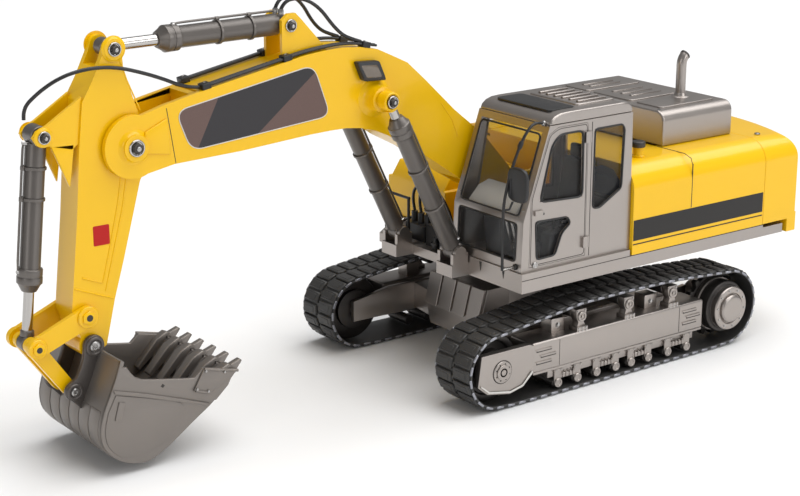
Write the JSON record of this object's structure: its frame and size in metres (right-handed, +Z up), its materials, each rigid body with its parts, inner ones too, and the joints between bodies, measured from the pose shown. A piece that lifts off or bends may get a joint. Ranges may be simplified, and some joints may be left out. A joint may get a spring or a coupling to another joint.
{
  "type": "toy excavator",
  "caption": "Toy crawler excavator: slewing house with cab, raised boom, arm and toothed bucket on cylinders, rubber crawler tracks.",
  "frame": {"origin": "centre of the overall base rectangle, on the ground under the tracks", "axes": "+X towards the bucket, +Y towards the cab side, +Z up"},
  "size_m": [0.636, 0.214, 0.28],
  "materials": {
    "warm_grey_paint": "satin metallic grey paint",
    "yellow_paint": "gloss yellow paint",
    "gunmetal": "dark satin cylinder paint",
    "chrome_rod": "polished",
    "steel_pin": "satin steel",
    "dark_steel": "dark oiled",
    "track_rubber": "matt moulded",
    "hose_rubber": "smooth",
    "black_plastic": "fine grain",
    "dark_trim": "fine grain",
    "smoked_glass": "clear, lightly smoked",
    "battery_wrap": "shrink wrap",
    "circuit_board": "board lacquer"
  },
  "bodies": {
    "undercarriage": {"chassis_frame": "warm_grey_paint", "chassis_cover": "warm_grey_paint", "slew_ring": "dark_steel", "track_frame_left": "warm_grey_paint", "track_frame_right": "warm_grey_paint", "idler_guard_left": "warm_grey_paint", "idler_guard_right": "warm_grey_paint", "track_belt_left": "track_rubber", "track_belt_right": "track_rubber", "track_rollers_left": "warm_grey_paint", "track_rollers_right": "warm_grey_paint"},
    "house": {"platform": "warm_grey_paint", "slew_bearing": "dark_steel", "slew_motor": "gunmetal", "boom_tower": "yellow_paint", "cab_frame": "warm_grey_paint", "cab_roof": "warm_grey_paint", "cab_glass": "smoked_glass", "cab_seat": "dark_trim", "cab_controls": "dark_trim", "cab_mirror": "black_plastic", "side_panel_left": "yellow_paint", "side_panel_right": "yellow_paint", "tank_right": "yellow_paint", "counterweight": "yellow_paint", "deck_cover": "yellow_paint", "engine_hood": "warm_grey_paint", "exhaust_pipe": "steel_pin", "hand_rails": "black_plastic", "battery_pack": "battery_wrap", "control_unit": "circuit_board", "valve_block": "black_plastic", "bay_hoses": "hose_rubber", "body_screws": "steel_pin"},
    "door": {"cab_door": "warm_grey_paint", "door_glass": "smoked_glass"},
    "main_boom": {"boom": "yellow_paint", "boom_pipes": "gunmetal", "work_lamp": "black_plastic", "boom_pins": "steel_pin", "arm_hose": "hose_rubber"},
    "dipper_arm": {"arm": "yellow_paint", "arm_pins": "steel_pin"},
    "digging_bucket": {"bucket": "warm_grey_paint", "bucket_teeth": "warm_grey_paint", "bucket_pins": "dark_steel"},
    "rocker": {"rocker_links": "yellow_paint"},
    "link": {"push_link": "yellow_paint"},
    "lift_barrel_left": {"boom_barrel_left": "gunmetal"},
    "lift_barrel_right": {"boom_barrel_right": "gunmetal"},
    "lift_rod_left": {"boom_rod_left": "chrome_rod"},
    "lift_rod_right": {"boom_rod_right": "chrome_rod"},
    "swing_barrel": {"arm_barrel": "gunmetal"},
    "swing_rod": {"arm_rod": "chrome_rod"},
    "curl_barrel": {"bucket_barrel": "gunmetal"},
    "curl_rod": {"bucket_rod": "chrome_rod"},
    "drive_left": {"sprocket_left": "dark_steel"},
    "drive_right": {"sprocket_right": "dark_steel"},
    "idle_left": {"idler_left": "dark_steel"},
    "idle_right": {"idler_right": "dark_steel"}
  },
  "joints": [
    {"name": "slew", "type": "hinge", "parent": "undercarriage", "child": "house", "pos_m": [-0.106, 0, 0.076], "axis": [0, 0, 1], "continuous": true},
    {"name": "cab_door", "type": "hinge", "parent": "house", "child": "door", "pos_m": [-0.0745, 0.0982, 0.146], "axis": [0, 0, 1], "range_deg": [0, 100]},
    {"name": "boom_lift", "type": "hinge", "parent": "house", "child": "main_boom", "pos_m": [-0.084, 0, 0.128], "axis": [0, -1, 0], "range_deg": [-2, 22]},
    {"name": "arm_swing", "type": "hinge", "parent": "main_boom", "child": "dipper_arm", "pos_m": [0.2385, 0, 0.205], "axis": [0, -1, 0], "range_deg": [-22, 24], "deforming": ["arm_hose"]},
    {"name": "bucket_curl", "type": "hinge", "parent": "dipper_arm", "child": "digging_bucket", "pos_m": [0.2725, 0, 0.08], "axis": [0, -1, 0], "range_deg": [-20, 40]},
    {"name": "lift_barrel_left_pivot", "type": "hinge", "parent": "house", "child": "lift_barrel_left", "pos_m": [-0.005, 0.033, 0.098], "axis": [0, -1, 0], "range_deg": [-3, 22]},
    {"name": "lift_rod_left_slide", "type": "slide", "parent": "lift_barrel_left", "child": "lift_rod_left", "axis": [0.441, 0, 0.8975], "range_m": [-0.0034, 0.0328]},
    {"name": "lift_barrel_right_pivot", "type": "hinge", "parent": "house", "child": "lift_barrel_right", "pos_m": [-0.005, -0.033, 0.098], "axis": [0, -1, 0], "range_deg": [-3, 22]},
    {"name": "lift_rod_right_slide", "type": "slide", "parent": "lift_barrel_right", "child": "lift_rod_right", "axis": [0.441, 0, 0.8975], "range_m": [-0.0034, 0.0328]},
    {"name": "swing_barrel_pivot", "type": "hinge", "parent": "main_boom", "child": "swing_barrel", "pos_m": [0.116, 0, 0.269], "axis": [0, -1, 0], "range_deg": [-2, 2]},
    {"name": "swing_rod_slide", "type": "slide", "parent": "swing_barrel", "child": "swing_rod", "axis": [0.9999, 0, -0.0114], "range_m": [-0.0264, 0.0243]},
    {"name": "rocker_pivot", "type": "hinge", "parent": "dipper_arm", "child": "rocker", "pos_m": [0.276, 0, 0.1], "axis": [0, -1, 0], "range_deg": [-17, 33]},
    {"name": "link_pivot", "type": "hinge", "parent": "rocker", "child": "link", "pos_m": [0.3115, 0, 0.086], "axis": [0, -1, 0], "range_deg": [-14, 7]},
    {"name": "curl_barrel_pivot", "type": "hinge", "parent": "dipper_arm", "child": "curl_barrel", "pos_m": [0.297, 0, 0.218], "axis": [0, -1, 0], "range_deg": [-2, 4]},
    {"name": "curl_rod_slide", "type": "slide", "parent": "curl_barrel", "child": "curl_rod", "axis": [0.1092, 0, -0.994], "range_m": [-0.021, 0.0108]},
    {"name": "drive_left_spin", "type": "hinge", "parent": "undercarriage", "child": "drive_left", "pos_m": [-0.22, 0.09, 0.031], "axis": [0, 1, 0], "continuous": true},
    {"name": "idle_left_spin", "type": "hinge", "parent": "undercarriage", "child": "idle_left", "pos_m": [0.007, 0.09, 0.0288], "axis": [0, 1, 0], "continuous": true},
    {"name": "drive_right_spin", "type": "hinge", "parent": "undercarriage", "child": "drive_right", "pos_m": [-0.22, -0.09, 0.031], "axis": [0, 1, 0], "continuous": true},
    {"name": "idle_right_spin", "type": "hinge", "parent": "undercarriage", "child": "idle_right", "pos_m": [0.007, -0.09, 0.0288], "axis": [0, 1, 0], "continuous": true}
  ],
  "couplings": [
    {"joint": "lift_barrel_left_pivot", "follows": "boom_lift", "ratio": 0.9732},
    {"joint": "lift_rod_left_slide", "follows": "boom_lift", "m_per_rad": 0.084056},
    {"joint": "lift_barrel_right_pivot", "follows": "boom_lift", "ratio": 0.9732},
    {"joint": "lift_rod_right_slide", "follows": "boom_lift", "m_per_rad": 0.084056},
    {"joint": "swing_barrel_pivot", "follows": "arm_swing", "ratio": 0.0411},
    {"joint": "swing_rod_slide", "follows": "arm_swing", "m_per_rad": -0.061912},
    {"joint": "rocker_pivot", "follows": "bucket_curl", "ratio": 0.819},
    {"joint": "link_pivot", "follows": "bucket_curl", "ratio": -0.3339},
    {"joint": "curl_barrel_pivot", "follows": "bucket_curl", "ratio": 0.0744},
    {"joint": "curl_rod_slide", "follows": "bucket_curl", "m_per_rad": -0.02937},
    {"joint": "idle_left_spin", "follows": "drive_left_spin", "ratio": 1.078},
    {"joint": "idle_right_spin", "follows": "drive_right_spin", "ratio": 1.078}
  ]
}
